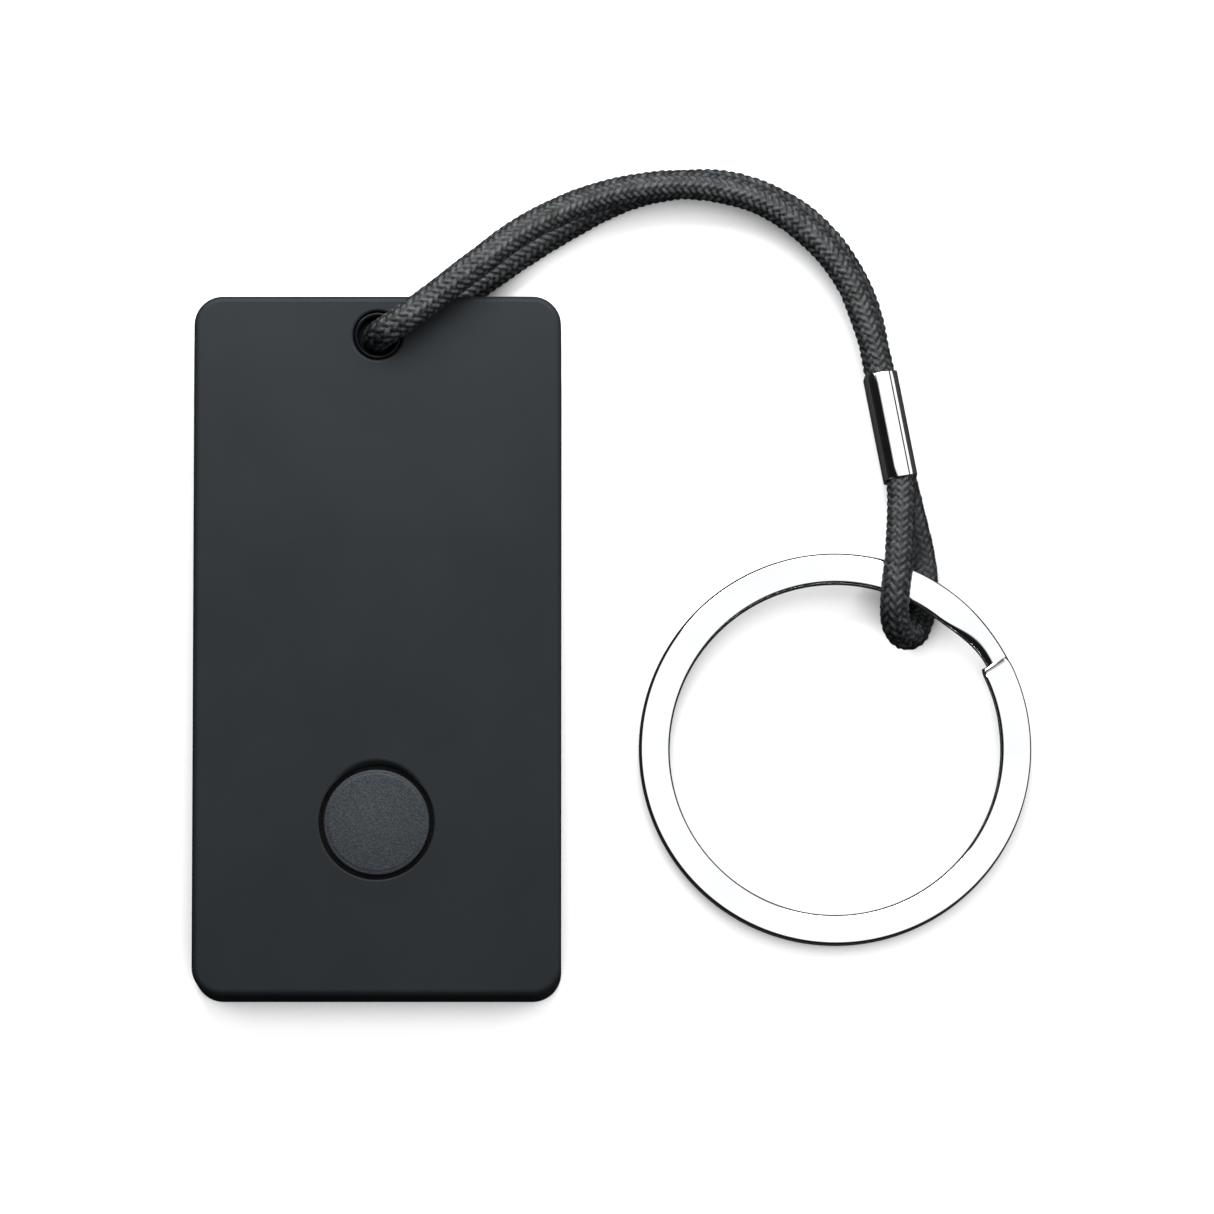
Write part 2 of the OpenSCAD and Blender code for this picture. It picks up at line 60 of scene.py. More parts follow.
def makeCamera(view):
    tilt = math.radians(view["elevation"])
    back = Vector((0, -math.cos(tilt), math.sin(tilt)))
    data = bpy.data.cameras.new("camera")
    data.sensor_width = 36
    data.lens = 36 * view["distance"] / view["width"]
    data.clip_start = 0.01
    data.clip_end = 20
    camera = bpy.data.objects.new("camera", data)
    camera.location = Vector(view["aim"]) + back * view["distance"]
    camera.rotation_euler = (math.radians(90) - tilt, 0, 0)
    scene.collection.objects.link(camera)
    scene.camera = camera


makeCamera(cameraView)


# mesh helpers, all in millimetres

def newPiece(name, points, faces):
    mesh = bpy.data.meshes.new(name)
    mesh.from_pydata([(x * mm, y * mm, z * mm) for x, y, z in points], [], faces)
    mesh.validate()
    build = bmesh.new()
    build.from_mesh(mesh)
    bmesh.ops.recalc_face_normals(build, faces=build.faces)
    build.to_mesh(mesh)
    build.free()
    mesh.polygons.foreach_set("use_smooth", [True] * len(mesh.polygons))
    piece = bpy.data.objects.new(name, mesh)
    scene.collection.objects.link(piece)
    return piece


def skinRings(rings, closed=False, capped=True):
    # points and faces of a skin over rings that all have the same count
    count, total = len(rings[0]), len(rings)
    points = [p for ring in rings for p in ring]
    faces = []
    for i in range(total if closed else total - 1):
        a, b = i * count, ((i + 1) % total) * count
        for k in range(count):
            n = (k + 1) % count
            faces.append((a + k, a + n, b + n, b + k))
    if capped and not closed:
        faces.append(tuple(range(count))[::-1])
        faces.append(tuple((total - 1) * count + k for k in range(count)))
    return points, faces


def roundedOutline(x0, y0, x1, y1, radius, cornerSteps=12):
    # a rectangle with round corners, counted anticlockwise from its upper right corner
    outline = []
    corners = ((x1, y1, 0), (x0, y1, 90), (x0, y0, 180), (x1, y0, 270))
    for x, y, start in corners:
        cx = x - radius if x == x1 else x + radius
        cy = y - radius if y == y1 else y + radius
        for k in range(cornerSteps + 1):
            turn = math.radians(start + 90 * k / cornerSteps)
            outline.append((cx + radius * math.cos(turn), cy + radius * math.sin(turn)))
    return outline


def roundedBlock(name, x0, y0, x1, y1, radius, z0, z1, lowRound=0.0, topRound=0.0, edgeSteps=6):
    # a slab with round corners, and edges rounded by a quarter circle below and above
    turns = [math.radians(90 * k / edgeSteps) for k in range(edgeSteps + 1)]
    levels = [(z0, 0)]
    if lowRound:
        levels = [(z0 + lowRound * (1 - math.sin(turn)), lowRound * (1 - math.cos(turn)))
                  for turn in reversed(turns)]
    if topRound:
        levels += [(z1 - topRound * (1 - math.sin(turn)), topRound * (1 - math.cos(turn))) for turn in turns]
    else:
        levels.append((z1, 0))
    rings = []
    for z, inset in levels:
        outline = roundedOutline(x0 + inset, y0 + inset, x1 - inset, y1 - inset, max(radius - inset, 0.02))
        rings.append([(x, y, z) for x, y in outline])
    return newPiece(name, *skinRings(rings))


def lathe(name, profile, centre=(0, 0), steps=96):
    # a closed profile of radius and height turned about an upright axis
    turns = [2 * math.pi * k / steps for k in range(steps)]
    rings = [[(centre[0] + r * math.cos(turn), centre[1] + r * math.sin(turn), z) for r, z in profile]
             for turn in turns]
    return newPiece(name, *skinRings(rings, closed=True))


def solidLathe(name, profile, centre=(0, 0), steps=96):
    # an open profile from axis to axis, lowest first, capped with a flat disc at each end
    turns = [2 * math.pi * k / steps for k in range(steps)]
    rings = [[(centre[0] + r * math.cos(turn), centre[1] + r * math.sin(turn), z) for turn in turns]
             for r, z in profile]
    return newPiece(name, *skinRings(rings))


def combine(piece, other, how):
    step = piece.modifiers.new(how, "BOOLEAN")
    step.operation = how
    step.solver = "EXACT"
    step.object = other
    graph = bpy.context.evaluated_depsgraph_get()
    mesh = bpy.data.meshes.new_from_object(piece.evaluated_get(graph))
    piece.modifiers.clear()
    old = piece.data
    piece.data = mesh
    bpy.data.meshes.remove(old)
    bpy.data.objects.remove(other)


def cut(piece, *others):
    for other in others:
        combine(piece, other, "DIFFERENCE")


def settle(piece, angle=32):
    # smooth shading that keeps flat faces flat and true edges sharp
    mesh = piece.data
    mesh.polygons.foreach_set("use_smooth", [True] * len(mesh.polygons))
    mesh.set_sharp_from_angle(angle=math.radians(angle))
    weigh = piece.modifiers.new("weighted normals", "WEIGHTED_NORMAL")
    weigh.keep_sharp = True
    weigh.weight = 100


def keepFlat(piece, area):
    # faces above this area, in square millimetres, are shaded apart from the roundings beside them
    mesh = piece.data
    sharp = mesh.attributes.get("sharp_edge") or mesh.attributes.new("sharp_edge", "BOOLEAN", "EDGE")
    for face in mesh.polygons:
        if face.area > area * mm * mm:
            for corner in face.loop_indices:
                sharp.data[mesh.loops[corner].edge_index].value = True


def quarter(cx, cz, radius, start, end, steps=6):
    # points of an arc in a profile, angles in degrees
    turns = [math.radians(start + (end - start) * k / steps) for k in range(steps + 1)]
    return [(cx + radius * math.cos(turn), cz + radius * math.sin(turn)) for turn in turns]


def boxMm(node):
    # lowest and highest corner of a part of the CAD model
    low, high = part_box(node)
    return [v / mm for v in low], [v / mm for v in high]


def middleOf(low, high):
    # x and y of the middle between two corners
    return (low[0] + high[0]) / 2, (low[1] + high[1]) / 2


# material helpers

class Finish:
    # a node material with a principled shader and what is wired to it
    def __init__(self, name, colour, roughness, metallic=0.0, **sockets):
        self.material = bpy.data.materials.new(name)
        self.material.use_nodes = True
        self.tree = self.material.node_tree
        self.shader = self.tree.nodes["Principled BSDF"]
        self.shader.inputs["Base Color"].default_value = (*colour, 1)
        self.shader.inputs["Roughness"].default_value = roughness
        self.shader.inputs["Metallic"].default_value = metallic
        for socket, value in sockets.items():
            self.shader.inputs[socket.replace("_", " ")].default_value = value
        self.place = self.add("ShaderNodeTexCoord").outputs["Object"]

    def add(self, kind, **settings):
        node = self.tree.nodes.new(kind)
        for key, value in settings.items():
            setattr(node, key, value)
        return node

    def wire(self, source, target):
        self.tree.links.new(source, target)

    def noise(self, scale, detail=3.0, rough=0.5, stretch=None):
        node = self.add("ShaderNodeTexNoise")
        node.inputs["Scale"].default_value = scale
        node.inputs["Detail"].default_value = detail
        node.inputs["Roughness"].default_value = rough
        place = self.place
        if stretch:
            mapping = self.add("ShaderNodeMapping")
            mapping.inputs["Scale"].default_value = stretch
            self.wire(place, mapping.inputs["Vector"])
            place = mapping.outputs["Vector"]
        self.wire(place, node.inputs["Vector"])
        return node.outputs["Fac"]

    def pits(self, scale):
        node = self.add("ShaderNodeTexVoronoi", feature="SMOOTH_F1")
        node.inputs["Scale"].default_value = scale
        self.wire(self.place, node.inputs["Vector"])
        return node.outputs["Distance"]

    def ramp(self, source, low, high, fromLow=0.0, fromHigh=1.0):
        # colour from one value, low and high are linear colours
        node = self.add("ShaderNodeValToRGB")
        node.color_ramp.elements[0].position = fromLow
        node.color_ramp.elements[1].position = fromHigh
        node.color_ramp.elements[0].color = (*low, 1)
        node.color_ramp.elements[1].color = (*high, 1)
        self.wire(source, node.inputs["Fac"])
        return node.outputs["Color"]

    def span(self, source, low, high, fromLow=0.0, fromHigh=1.0):
        node = self.add("ShaderNodeMapRange")
        node.inputs["From Min"].default_value = fromLow
        node.inputs["From Max"].default_value = fromHigh
        node.inputs["To Min"].default_value = low
        node.inputs["To Max"].default_value = high
        self.wire(source, node.inputs["Value"])
        return node.outputs["Result"]

    def times(self, one, other):
        node = self.add("ShaderNodeMath", operation="MULTIPLY")
        self.wire(one, node.inputs[0])
        self.wire(other, node.inputs[1])
        return node.outputs["Value"]

    def layer(self, name):
        # colours stored on the points of the mesh
        return self.add("ShaderNodeVertexColor", layer_name=name).outputs["Color"]

    def colour(self, source):
        self.wire(source, self.shader.inputs["Base Color"])

    def rough(self, source):
        self.wire(source, self.shader.inputs["Roughness"])

    def bump(self, source, height, strength=1.0, under=None):
        node = self.add("ShaderNodeBump")
        node.inputs["Distance"].default_value = height
        node.inputs["Strength"].default_value = strength
        self.wire(source, node.inputs["Height"])
        if under:
            self.wire(under, node.inputs["Normal"])
        self.wire(node.outputs["Normal"], self.shader.inputs["Normal"])
        return node.outputs["Normal"]


def shade(colour, factor):
    return tuple(c * factor for c in colour)


def dress(piece, finish):
    piece.data.materials.clear()
    piece.data.materials.append(finish.material)


# the cord, laid first because the camera and the room it takes depend on it

cordLay = {
    "diameter": 2.3,
    "perStrand": 5,          # points across one strand, both ways, so that some fall in every gap
    "strands": 12,           # strands wound each way
    "lead": 7.1,             # length of one turn of a strand
    "weave": 0.11,           # how far a strand rises and dives
    "crown": 0.2,            # how high each strand stands over its edges
    "roundness": 1.92,       # 2 would bring a strand's edges right down to the gap
    "uneven": 0.05,          # difference in height between one crossing and the next
    "scatter": (12.9898, 78.233, 43758.5453),   # unrelated numbers, which make the shares look random
    # the gap colour is painted shade and the crown colour a painted sheen over the braid's own near-black
    "black": (0.0006, 0.0007, 0.0008),
    "grey": (0.034, 0.0385, 0.042),
    # x, y, z in metres and height as a share of the diameter, the same points as in the CAD model
    "points": [
        (0.0392, 0.0175, 0.0013, 1), (0.0384, 0.0217, 0.00125, 1), (0.0372, 0.0271, 0.00117, 1),
        (0.0347, 0.0315, 0.00117, 1), (0.0311, 0.0346, 0.00117, 1), (0.0259, 0.0363, 0.00117, 1),
        (0.0195, 0.0355, 0.00117, 1), (0.0132, 0.0323, 0.00117, 1), (0.0074, 0.0284, 0.00117, 1),
        (0.0038, 0.0258, 0.00117, 1), (0.0018, 0.0245, 0.00125, 1), (0.0007, 0.0239, 0.00175, 1),
        (0.0001, 0.0237, 0.0028, 1), (0, 0.0237, 0.005, 1), (0.0001, 0.0237, 0.0073, 1),
        (0.0007, 0.024, 0.0084, 1), (0.002, 0.0248, 0.00885, 1), (0.0042, 0.0264, 0.00885, 1),
        (0.0074, 0.0289, 0.00875, 1), (0.0116, 0.0321, 0.0075, 1), (0.017, 0.0348, 0.0049, 1),
        (0.023, 0.0359, 0.0036, 1), (0.0285, 0.035, 0.0035, 1), (0.0327, 0.0325, 0.0035, 1),
        (0.0359, 0.0288, 0.0035, 1), (0.0376, 0.0246, 0.00355, 1), (0.0385, 0.021, 0.0036, 1),
        (0.0393, 0.017, 0.0036, 1), (0.04, 0.0132, 0.0036, 1), (0.04, 0.0098, 0.0042, 1),
        (0.0398, 0.0066, 0.00485, 1), (0.0395, 0.0042, 0.0049, 1), (0.0395, 0.0023, 0.00415, 1),
        (0.0401, 0.0013, 0.0028, 1), (0.0409, 0.0014, 0.0016, 1), (0.0415, 0.0027, 0.0008, 0.68),
        (0.0418, 0.005, 0.00074, 0.62), (0.0416, 0.0074, 0.0008, 0.68), (0.0408, 0.0108, 0.0012, 1),
        (0.0393, 0.0169, 0.0013, 1),
    ],
}


def smoothRoute(points, steps=24):
    # a smooth curve through every chosen point
    p = np.array(points, float)
    rows = []
    for i in range(len(p) - 1):
        a, b, c, d = p[max(i - 1, 0)], p[i], p[i + 1], p[min(i + 2, len(p) - 1)]
        for s in range(steps):
            t = s / steps
            rows.append(b + t * ((c - a) / 2 + t * (a - 2.5 * b + 2 * c - d / 2
                                                   + t * ((d - a) / 2 + 1.5 * (b - c)))))
    rows.append(p[-1])
    return np.array(rows)


def evenRoute(points, spacing):
    # that curve with its points at even distances, and its length
    route = smoothRoute(points)
    steps = np.linalg.norm(np.diff(route[:, :3], axis=0), axis=1)
    along = np.concatenate([[0], np.cumsum(steps)])
    count = int(round(along[-1] / spacing))
    at = np.linspace(0, along[-1], count + 1)
    return np.column_stack([np.interp(at, along, route[:, k]) for k in range(4)]), float(along[-1])


def carriedFrames(line):
    # two directions across the line, carried along it without twist
    tangent = np.gradient(line, axis=0)
    tangent /= np.linalg.norm(tangent, axis=1)[:, None]
    u = np.cross(tangent[0], (0, 0, 1))
    us = []
    for t in tangent:
        u = u - t * np.dot(u, t)
        u = u / np.linalg.norm(u)
        us.append(u)
    us = np.array(us)
    return us, np.cross(tangent, us)


def braidHeight(step, row, lay):
    # height of a two-over, two-under braid over its mean radius, and a random share for each crossing
    nudge = 0.001    # puts a point that lies in a gap on one side of it
    left = (step - row) / lay["perStrand"] + nudge
    right = (step + row) / lay["perStrand"] + nudge

    byStrand, byCrossing, spread = lay["scatter"]

    def strand(across, other, middle):
        number = np.floor(across)
        dome = np.sqrt(np.clip(1 - (lay["roundness"] * (across - number - 0.5)) ** 2, 0, 1))
        phase = (other + number - middle) / 4
        crossing = byStrand * np.mod(number, lay["strands"]) + byCrossing * np.floor(phase + 0.5)
        share = np.mod(np.sin(crossing + middle) * spread, 1)
        rise = lay["weave"] * np.cos(2 * math.pi * phase) + lay["uneven"] * (share - 0.5)
        return rise + lay["crown"] * (dome - 1), share

    leftHeight, leftShare = strand(left, right, 1.0)
    rightHeight, rightShare = strand(right, left, 3.0)
    over = leftHeight > rightHeight
    return np.where(over, leftHeight, rightHeight), np.where(over, leftShare, rightShare)


def makeCord(lay):
    around = lay["strands"] * lay["perStrand"]
    route, length = evenRoute(lay["points"], lay["lead"] / around * mm)
    line = route[:, :3]
    us, vs = carriedFrames(line)
    step, row = np.meshgrid(np.arange(around), np.arange(len(line)))
    height, share = braidHeight(step, row, lay)
    reach = (lay["diameter"] / 2 - lay["weave"] + height) * mm
    angle = 2 * math.pi * step / around
    offset = (reach * np.cos(angle))[..., None] * us[:, None, :]
    offset += (reach * np.sin(angle))[..., None] * vs[:, None, :]
    offset[..., 2] *= route[:, 3][:, None]    # pressed flatter where it goes under the ring
    piece = newPiece("braided_cord", *skinRings(((line[:, None, :] + offset) / mm).tolist()))
    tint = piece.data.color_attributes.new("strand", "FLOAT_COLOR", "POINT")
    # the height, squared, is kept as a mask that paints shade in the gaps and a sheen on the crowns
    lift = np.clip((height + lay["crown"]) / (lay["crown"] + lay["weave"]), 0, 1) ** 2
    values = np.stack([lift, share, lift, np.ones_like(lift)], axis=-1)
    tint.data.foreach_set("color", values.reshape(-1).astype(np.float32))
    return piece, line, length


def braidFinish(lay):
    # red holds a point's height in the braid, which paints shade in the gaps and a sheen on the crowns; green
    # holds the random share of its crossing
    finish = Finish("braided polyester", (0.012, 0.013, 0.014), 0.5, Specular_IOR_Level=0.4)
    parts = finish.add("ShaderNodeSeparateColor")
    finish.wire(finish.layer("strand"), parts.inputs["Color"])
    fibres = finish.noise(7500, 3, 0.7)
    uneven = finish.times(finish.span(parts.outputs["Green"], 0.72, 1.28),
                          finish.span(fibres, 0.45, 1.55, 0.34, 0.66))
    # painted shade in the gaps and a painted sheen on the crowns, varied by crossing and fibre
    shadeSheenAndTone = finish.times(parts.outputs["Red"], uneven)
    finish.colour(finish.ramp(shadeSheenAndTone, lay["black"], lay["grey"], 0.38, 1.75))
    finish.rough(finish.span(fibres, 0.55, 0.22, 0.35, 0.65))
    finish.bump(fibres, 0.00008, 0.9)
    return finish


cordPiece, cordLine, cordLength = makeCord(cordLay)
dress(cordPiece, braidFinish(cordLay))
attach(cordPiece, "lanyard")
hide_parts("lanyard_cord")
print("cord laid", round(cordLength, 4), "m")


# finishes of the outer parts

def softTouchFinish(name, colour):
    finish = Finish(name, colour, 0.5, Specular_IOR_Level=0.09)
    cloud = finish.noise(110, 4, 0.55)
    grain = finish.noise(16000, 2, 0.6)
    finish.colour(finish.ramp(cloud, shade(colour, 0.93), shade(colour, 1.07), 0.35, 0.65))
    finish.rough(finish.span(cloud, 0.47, 0.56, 0.3, 0.7))
    finish.bump(grain, 0.000004, 0.55)
    return finish


def sparkGrainFinish(spec):
    colour = spec["paint"]
    finish = Finish("spark-grained button", colour, 0.45, Specular_IOR_Level=0.14)
    grain = finish.noise(9000, 2, 0.6)
    # painted lighter toward the middle, a little up and to the left, as a painted pool of light
    low, high = boxMm("button_cap")
    middle = middleOf(low, high)
    far = finish.add("ShaderNodeVectorMath", operation="DISTANCE")
    finish.wire(finish.place, far.inputs[0])
    far.inputs[1].default_value = ((middle[0] + spec["paintedLightShift"][0]) * mm,
                                   (middle[1] + spec["paintedLightShift"][1]) * mm, high[2] * mm)
    paintedLight = finish.ramp(far.outputs["Value"], *spec["paintedLight"], *spec["paintedLightReach"])
    grained = finish.add("ShaderNodeMix", data_type="RGBA", blend_type="MULTIPLY")
    share, first, second, mixed = 0, 6, 7, 2    # the numbers of this node's colour sockets
    grained.inputs[share].default_value = 1
    speckled = finish.ramp(grain, shade(colour, 0.62), shade(colour, 1.42), 0.36, 0.66)
    finish.wire(speckled, grained.inputs[first])
    finish.wire(paintedLight, grained.inputs[second])
    # the painted face over near-black plastic, which also paints the shade in the gap round the cap
    covered = finish.add("ShaderNodeMix", data_type="RGBA")
    covered.inputs[first].default_value = (*spec["plastic"], 1)
    finish.wire(finish.layer("paint"), covered.inputs[share])
    finish.wire(grained.outputs[mixed], covered.inputs[second])
    finish.colour(covered.outputs[mixed])
    finish.rough(finish.span(grain, 0.36, 0.56, 0.35, 0.65))
    under = finish.bump(finish.pits(4600), 0.00004, 0.6)
    finish.bump(grain, 0.00005, 0.7, under)
    return finish


def glossFinish(colour):
    finish = Finish("polished black eyelet", colour, 0.12, Specular_IOR_Level=0.07)
    finish.rough(finish.span(finish.noise(900, 3), 0.08, 0.2, 0.35, 0.65))
    finish.bump(finish.noise(1400, 2), 0.000003, 0.3)
    return finish


chrome = {
    "colours": ((0.76, 0.77, 0.785), (0.84, 0.85, 0.86)),   # between which it drifts
    "roughness": (0.035, 0.12),
}


def chromeFinish(name, spec):
    finish = Finish(name, (0.80, 0.81, 0.82), 0.07, 1.0)
    rubs = finish.noise(900, 4, 0.6)
    cloud = finish.noise(160, 3)
    finish.colour(finish.ramp(cloud, *spec["colours"], 0.35, 0.65))
    finish.rough(finish.span(rubs, *spec["roughness"], 0.35, 0.7))
    finish.bump(rubs, 0.000002, 0.25)
    return finish


# the case: a front shell, and a cover let into its back

case = {
    "colour": (0.0124, 0.0150, 0.0172),
    "coverColour": (0.0120, 0.0146, 0.0168),
    "corner": 2.2,
    "seam": 0.08,            # gap round the cover in its pocket
    "frontRound": 0.5,
    "backRound": 0.25,
    "coverRound": (0.18, 0.1),   # the cover's outer and inner edge
    "frontWall": 1.0,
    "sideWall": 1.4,
    "rim": 0.7,              # wall left outside the cover
    "coverDepth": 1.02,
    "pocketLap": 0.5,        # how far the cover's pocket goes past the cavity, toward the hole
    "recess": 2.6,           # depth of the cord's recess
    "recessInset": 2.9,      # from the hole's centre
    "divider": 1.9,          # wall between the recess and the cavity
    "innerRound": 0.3,
    "holeRadius": 1.87,
    "holeRound": 0.22,
    "openingRadius": 4.375,
    "openingRound": 0.16,
    "scoop": (0.5, 0.95),    # width and depth of the hollow at the opening's upper side, for a finger
    "scoopShift": 0.75,
    "screwInset": 1.35,      # from the outside of the four screw heads to a screw's middle
    "headDepth": 0.7,
    "bossDrop": 0.9,         # gap between a screw's head seat and the boss
    "bossRadius": 1.5,
    "shoulderRadius": 2.0,
    "pilotRadius": 0.65,
    "pegInset": 2.6,
    "pegRadius": 0.65,
    "pegHead": 1.1,
    "pegShoulder": 1.2,
    # radius and height of the cutters for the pry notch and for a sound hole, from outside inward
    "notch": ((1.1, -1), (1.35, -0.02), (1.6, 0.35), (1.6, 0.6)),
    "soundHole": ((0.62, -0.3), (0.62, 0.02), (0.48, 0.14), (0.45, 0.2), (0.45, 1.5)),
    "soundHoles": (-2, -1, 0, 1, 2),
    "soundPitch": 2.1,
    "skirtWidth": 0.8,
    "sideSkirt": 12,
    "endSkirt": 10,
    "skirtGap": 0.1,
    "flatArea": 100,         # faces larger than this, in square millimetres, are kept flat
}


def rimCutter(name, centre, radius, top, width, depth, floor):
    # cuts a round hole whose upper rim is rounded over
    profile = [(radius, floor)]
    turns = [math.radians(a) for a in range(0, 91, 9)]
    profile += [(radius + width * (1 - math.cos(turn)), top - depth * (1 - math.sin(turn))) for turn in turns]
    profile.append((radius + width, top + 1))
    return solidLathe(name, profile, centre, 128)


def makeBoss(spec, x, y, headSeat, boardTop, frontZ):
    # carries the board on its shoulder and takes a screw from behind
    chamfer = 0.15
    merge = 0.2     # how far it reaches into the front wall
    start = headSeat + spec["bossDrop"]
    boss = solidLathe("boss", [(spec["bossRadius"] - chamfer, start), (spec["bossRadius"], start + chamfer),
                               (spec["bossRadius"], boardTop), (spec["shoulderRadius"], boardTop),
                               (spec["shoulderRadius"], frontZ + merge)], (x, y), 48)
    radius = spec["pilotRadius"]
    cut(boss, solidLathe("pilot", [(radius, headSeat), (radius, frontZ - 0.3)], (x, y), 32))
    return boss


def makePeg(spec, x, y, boardBottom, boardTop, frontZ):
    # goes through the board and is melted over below it
    head, radius, shoulder = spec["pegHead"], spec["pegRadius"], spec["pegShoulder"]
    headTop = boardBottom - 0.02
    return solidLathe("peg", [(head - 0.35, boardBottom - 0.42), (head - 0.05, boardBottom - 0.3),
                              (head, boardBottom - 0.15), (head, headTop), (radius, headTop),
                              (radius, boardTop), (shoulder, boardTop), (shoulder, frontZ + 0.2)], (x, y), 32)


def makeShell(spec):
    low, high = boxMm("front_shell")
    holeY = middleOf(*boxMm("lanyard_eyelet"))[1]
    buttonY = middleOf(*boxMm("button_cap"))[1]
    boardLow, boardHigh = boxMm("circuit_board")
    screwLow, screwHigh = boxMm("tray_screws")
    recessY = holeY - spec["recessInset"]
    insideTop = recessY - spec["divider"]
    insideX = high[0] - spec["sideWall"]
    insideLow = low[1] + spec["sideWall"]
    pocketX = high[0] - spec["rim"]
    frontZ = high[2] - spec["frontWall"]
    through = -1    # a level safely below the back
    holeRound, openingRound, scoop = spec["holeRound"], spec["openingRound"], spec["scoop"]
    shell = roundedBlock("case_shell", low[0], low[1], high[0], high[1], spec["corner"], low[2], high[2],
                         spec["backRound"], spec["frontRound"], 10)
    cut(shell,
        roundedBlock("cavity", -insideX, insideLow, insideX, insideTop, spec["corner"] - spec["sideWall"],
                     through, frontZ, 0, spec["innerRound"] / 2),
        roundedBlock("pocket", -pocketX, low[1] + spec["rim"], pocketX, insideTop + spec["pocketLap"],
                     spec["corner"] - spec["rim"], through, spec["coverDepth"]),
        roundedBlock("cord_recess", low[0] - 3, recessY, high[0] + 3, high[1] + 3, 0.3, through - 1,
                     spec["recess"], 0, spec["innerRound"]),
        rimCutter("hole", (0, holeY), spec["holeRadius"], high[2], holeRound, holeRound, through),
        rimCutter("opening", (0, buttonY), spec["openingRadius"], high[2], openingRound, openingRound,
                  through),
        rimCutter("scoop", (0, buttonY + spec["scoopShift"]), spec["openingRadius"] - spec["scoopShift"],
                  high[2], *scoop, high[2] - scoop[1] - 0.01))
    headSeat = screwLow[2] + spec["headDepth"]
    for x in (screwLow[0] + spec["screwInset"], screwHigh[0] - spec["screwInset"]):
        for y in (screwLow[1] + spec["screwInset"], screwHigh[1] - spec["screwInset"]):
            combine(shell, makeBoss(spec, x, y, headSeat, boardHigh[2], frontZ), "UNION")
        pegY = insideLow + spec["pegInset"]
        combine(shell, makePeg(spec, x, pegY, boardLow[2], boardHigh[2], frontZ), "UNION")
    settle(shell)
    keepFlat(shell, spec["flatArea"])
    return shell


def makeCover(spec):
    low, high = boxMm("back_cover")
    buzzerY = middleOf(*boxMm("buzzer_disc"))[1]
    skirt, seam = spec["skirtWidth"], spec["seam"]
    corner = spec["corner"] - spec["rim"] - seam
    plateTop = spec["coverDepth"] - 0.02    # a hair short of the pocket's floor
    inward = spec["sideWall"] + spec["skirtGap"] - spec["rim"] - seam    # from the plate's edge to a skirt
    skirtX = high[0] - inward - skirt / 2
    skirtLow = low[1] + inward
    cover = roundedBlock("battery_cover", low[0], low[1], high[0], high[1], corner, low[2], plateTop,
                         *spec["coverRound"], 4)
    cut(cover, solidLathe("notch", spec["notch"], (0, low[1] - seam), 48))
    for place in spec["soundHoles"]:
        cut(cover, solidLathe("sound", spec["soundHole"], (place * spec["soundPitch"], buzzerY), 32))
    # skirts that hold the cover square in the cavity, one at each side and one at the end
    areas = [(side * skirtX - skirt / 2, buzzerY - spec["sideSkirt"] / 2,
              side * skirtX + skirt / 2, buzzerY + spec["sideSkirt"] / 2) for side in (-1, 1)]
    areas.append((-spec["endSkirt"] / 2, skirtLow, spec["endSkirt"] / 2, skirtLow + skirt))
    for area in areas:
        skirtBlock = roundedBlock("skirt", *area, 0.15, plateTop - 0.1, high[2], 0, spec["innerRound"] / 2)
        combine(cover, skirtBlock, "UNION")
    settle(cover)
    return cover


shell = makeShell(case)
dress(shell, softTouchFinish("soft-touch case", case["colour"]))
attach(shell, "tag")
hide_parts("front_shell")
print("case shell made")

cover = makeCover(case)
dress(cover, softTouchFinish("soft-touch cover", case["coverColour"]))
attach(cover, "cover")
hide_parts("back_cover")
print("back cover made")


# the button

button = {
    "radius": 4.025,
    "edgeRound": 0.16,
    "step": 0.035,           # height of the fine line just inside the edge
    "border": 0.36,
    "flange": 0.35,
    "pocketRadius": 3.0,
    "stemRadius": 0.6,
    "skin": 0.65,            # thickness of the face over the pocket
    "paint": (0.030, 0.0355, 0.0405),
    "paintDepth": 0.22,      # how far down the edge the paint goes
    "paintFade": 0.1,
    # bare plastic below the paint, made near black so that it also paints the shade in the gap round the cap
    "plastic": (0.0012, 0.0014, 0.0016),
    # a painted pool of light: what the paint is multiplied by, near its middle and far from it
    "paintedLight": ((1, 1, 0.98), (0.72, 0.72, 0.73)),   # what the paint is multiplied by, inside and out
    "paintedLightReach": (0.001, 0.0048),
    "paintedLightShift": (-0.6, 1.2),
}


